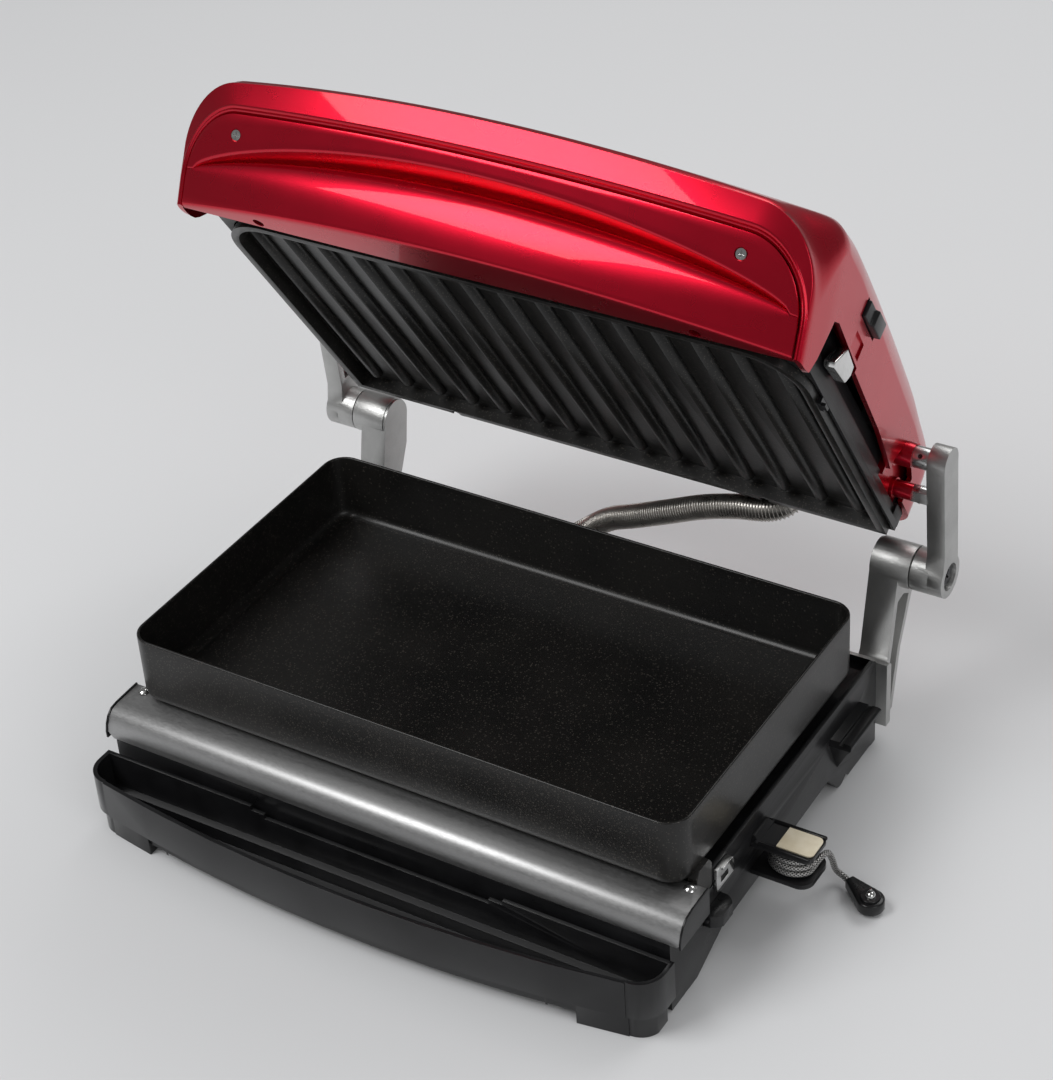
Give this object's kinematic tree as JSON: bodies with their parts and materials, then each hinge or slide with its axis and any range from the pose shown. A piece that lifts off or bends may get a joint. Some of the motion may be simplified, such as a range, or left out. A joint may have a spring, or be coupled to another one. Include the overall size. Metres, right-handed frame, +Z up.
{
  "type": "contact grill",
  "caption": "Indoor contact grill with a hinged domed lid, floating double hinge, removable ribbed plate, deep bake pan, front drip tray and a core probe on a side cleat.",
  "frame": {"origin": "on the table under the middle of the object's box", "axes": "+X to the right seen from the drip tray, +Y to the hinge at the rear, +Z up"},
  "size_m": [0.4101, 0.3389, 0.3662],
  "materials": {
    "black_plastic": "satin",
    "tray_black": "satin",
    "trim_steel": "brushed",
    "reflector_steel": "satin",
    "element_steel": "satin",
    "feet_rubber": "matte",
    "cast_alloy": "satin",
    "polished_steel": "polished",
    "dark_screw": "satin",
    "cream_pad": "matte",
    "cable_braid": "braided",
    "hose_steel": "ribbed",
    "pan_coating": "speckled non-stick",
    "frame_black": "satin",
    "red_paint": "metallic gloss"
  },
  "bodies": {
    "base": {"base_housing": "black_plastic", "bottom_cover": "black_plastic", "front_trim": "trim_steel", "trim_end_caps": "black_plastic", "trim_rivets": "trim_steel", "lower_reflector": "reflector_steel", "lower_element": "element_steel", "element_clips": "reflector_steel", "lower_thermostat": "reflector_steel", "rubber_feet": "feet_rubber", "hinge_arm_left": "cast_alloy", "hinge_arm_right": "cast_alloy", "arm_screws": "polished_steel", "lower_pivot_pins": "polished_steel", "pivot_screws": "dark_screw", "pivot_washers": "polished_steel", "probe_bracket": "black_plastic", "bracket_pad": "cream_pad", "probe_cable": "cable_braid", "probe_lead": "cable_braid", "probe_handle": "black_plastic", "probe_tip": "polished_steel", "mains_gland": "black_plastic", "conduit": "hose_steel", "conduit_gland_base": "black_plastic"},
    "tilt_foot": {"tilt_foot": "black_plastic"},
    "drip_tray": {"drip_tray": "tray_black"},
    "bake_pan": {"bake_pan": "pan_coating"},
    "lower_button": {"lower_release_button": "black_plastic"},
    "lower_latch": {"lower_latch_clip": "polished_steel"},
    "links": {"link_left": "cast_alloy", "link_right": "cast_alloy", "link_collars": "polished_steel", "lid_pivot_pins": "polished_steel", "set_screws": "dark_screw"},
    "lid": {"lid_cover": "red_paint", "lid_front_panel": "red_paint", "panel_screws": "polished_steel", "lid_hinge_bosses": "red_paint", "upper_heater_frame": "frame_black", "upper_reflector": "reflector_steel", "upper_element": "element_steel", "upper_thermostat": "reflector_steel", "conduit_gland_lid": "black_plastic"},
    "upper_plate": {"upper_plate": "pan_coating", "plate_hook": "black_plastic"},
    "upper_button": {"upper_release_button": "black_plastic"},
    "upper_latch": {"upper_latch": "polished_steel"}
  },
  "joints": [
    {"name": "link_hinge", "type": "hinge", "parent": "base", "child": "links", "pos_m": [0, 0.1193, 0.0972], "axis": [1, 0, 0], "range_deg": [-35, 56.3], "deforming": ["conduit"]},
    {"name": "lid_float", "type": "hinge", "parent": "links", "child": "lid", "pos_m": [0, 0.1136, 0.1688], "axis": [1, 0, 0], "range_deg": [-29, 0], "deforming": ["conduit"]},
    {"name": "pan_lift", "type": "slide", "parent": "base", "child": "bake_pan", "axis": [0, 0, -1], "range_m": [-0.05, 0]},
    {"name": "plate_removal", "type": "slide", "parent": "lid", "child": "upper_plate", "axis": [0, 0.8368, 0.5476], "range_m": [-0.025, 0]},
    {"name": "tray_slide", "type": "slide", "parent": "base", "child": "drip_tray", "axis": [0, 1, 0], "range_m": [-0.12, 0]},
    {"name": "foot_fold", "type": "hinge", "parent": "base", "child": "tilt_foot", "pos_m": [0, 0.0496, 0.008], "axis": [1, 0, 0], "range_deg": [-88, 0]},
    {"name": "lower_press", "type": "slide", "parent": "base", "child": "lower_button", "axis": [1, 0, 0], "range_m": [-0.003, 0], "stiffness_N_per_m": 600, "springref_m": 0.002},
    {"name": "lower_hook", "type": "slide", "parent": "base", "child": "lower_latch", "axis": [0, -1, 0], "range_m": [-0.004, 0]},
    {"name": "upper_press", "type": "slide", "parent": "lid", "child": "upper_button", "axis": [1, 0, 0], "range_m": [-0.003, 0], "stiffness_N_per_m": 600, "springref_m": 0.002},
    {"name": "upper_hook", "type": "slide", "parent": "lid", "child": "upper_latch", "axis": [0, -0.5476, 0.8368], "range_m": [-0.004, 0]}
  ],
  "couplings": [
    {"joint": "lower_hook", "follows": "lower_press", "ratio": 1.3333},
    {"joint": "upper_hook", "follows": "upper_press", "ratio": 1.3333}
  ]
}
